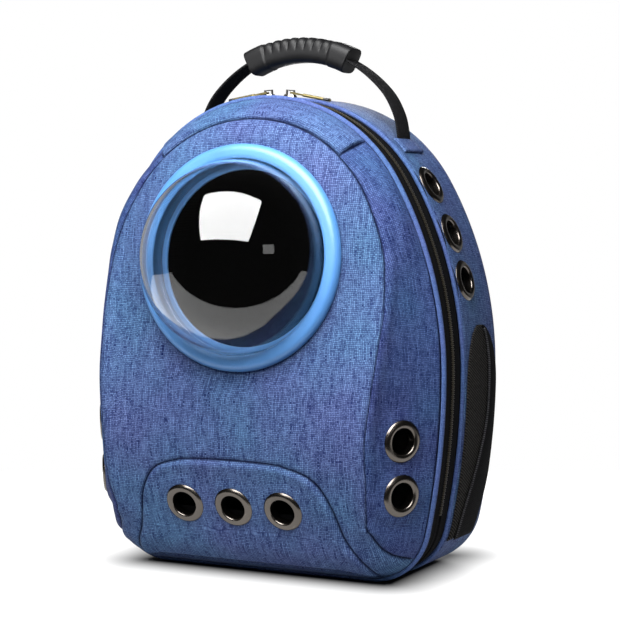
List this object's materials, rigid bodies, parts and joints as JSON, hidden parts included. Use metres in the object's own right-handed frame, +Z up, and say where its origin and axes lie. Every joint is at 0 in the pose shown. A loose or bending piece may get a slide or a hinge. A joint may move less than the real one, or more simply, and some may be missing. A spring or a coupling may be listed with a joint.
{
  "type": "bubble pet carrier backpack",
  "caption": "Arched clamshell backpack with a clear domed window, round air vents, an all-round zip, a top carry handle and padded straps, for carrying a small pet.",
  "frame": {"origin": "middle of the rear shell's flat base, on the surface the bag stands on", "axes": "+Z up, -Y towards the front with the window, +X to the viewer's right"},
  "size_m": [0.3456, 0.3227, 0.4688],
  "materials": {
    "fabric": "matt, woven, heathered",
    "piping_fabric": "matt, woven",
    "black_tape": "matt, woven",
    "coil_plastic": "satin",
    "blue_plastic": "gloss, moulded",
    "clear_plastic": "clear, gloss",
    "gunmetal": "polished, dark plated",
    "old_brass": "satin, dark plated",
    "black_rubber": "satin",
    "black_webbing": "matt, woven",
    "black_mesh": "matt, open mesh",
    "black_resin": "satin"
  },
  "bodies": {
    "shell": {"front_shell": "fabric", "rear_shell": "fabric", "handle_tab_left": "fabric", "handle_tab_right": "fabric", "front_piping": "piping_fabric", "rear_piping": "piping_fabric", "zip_tape": "black_tape", "zip_coil": "coil_plastic", "window_ring": "blue_plastic", "window_inner_ring": "blue_plastic", "window_dome": "clear_plastic", "front_vent_1": "gunmetal", "side_vent_left_1": "gunmetal", "side_vent_right_1": "gunmetal", "front_vent_2": "gunmetal", "side_vent_left_2": "gunmetal", "side_vent_right_2": "gunmetal", "front_vent_3": "gunmetal", "side_vent_left_3": "gunmetal", "side_vent_right_3": "gunmetal", "shell_vent_left_1": "gunmetal", "shell_vent_right_1": "gunmetal", "shell_vent_left_2": "gunmetal", "shell_vent_right_2": "gunmetal", "zip_slider_left": "gunmetal", "side_mesh_left": "black_mesh", "side_pocket_left": "black_mesh", "shoulder_strap_left": "black_mesh", "strap_webbing_left": "black_webbing", "strap_buckle_left": "black_resin", "zip_slider_right": "gunmetal", "side_mesh_right": "black_mesh", "side_pocket_right": "black_mesh", "shoulder_strap_right": "black_mesh", "strap_webbing_right": "black_webbing", "strap_buckle_right": "black_resin", "back_pad": "black_mesh", "handle_grip": "black_rubber", "handle_webbing": "black_webbing"},
    "pull_left": {"zip_pull_left": "old_brass"},
    "pull_right": {"zip_pull_right": "old_brass"}
  },
  "joints": [
    {"name": "pull_left_hinge", "type": "hinge", "parent": "shell", "child": "pull_left", "pos_m": [-0.00993, -0.0547, 0.41798], "axis": [0, 1, 0], "range_deg": [0, 100]},
    {"name": "pull_right_hinge", "type": "hinge", "parent": "shell", "child": "pull_right", "pos_m": [0.01504, -0.0547, 0.41755], "axis": [0, -1, 0], "range_deg": [0, 100]}
  ]
}
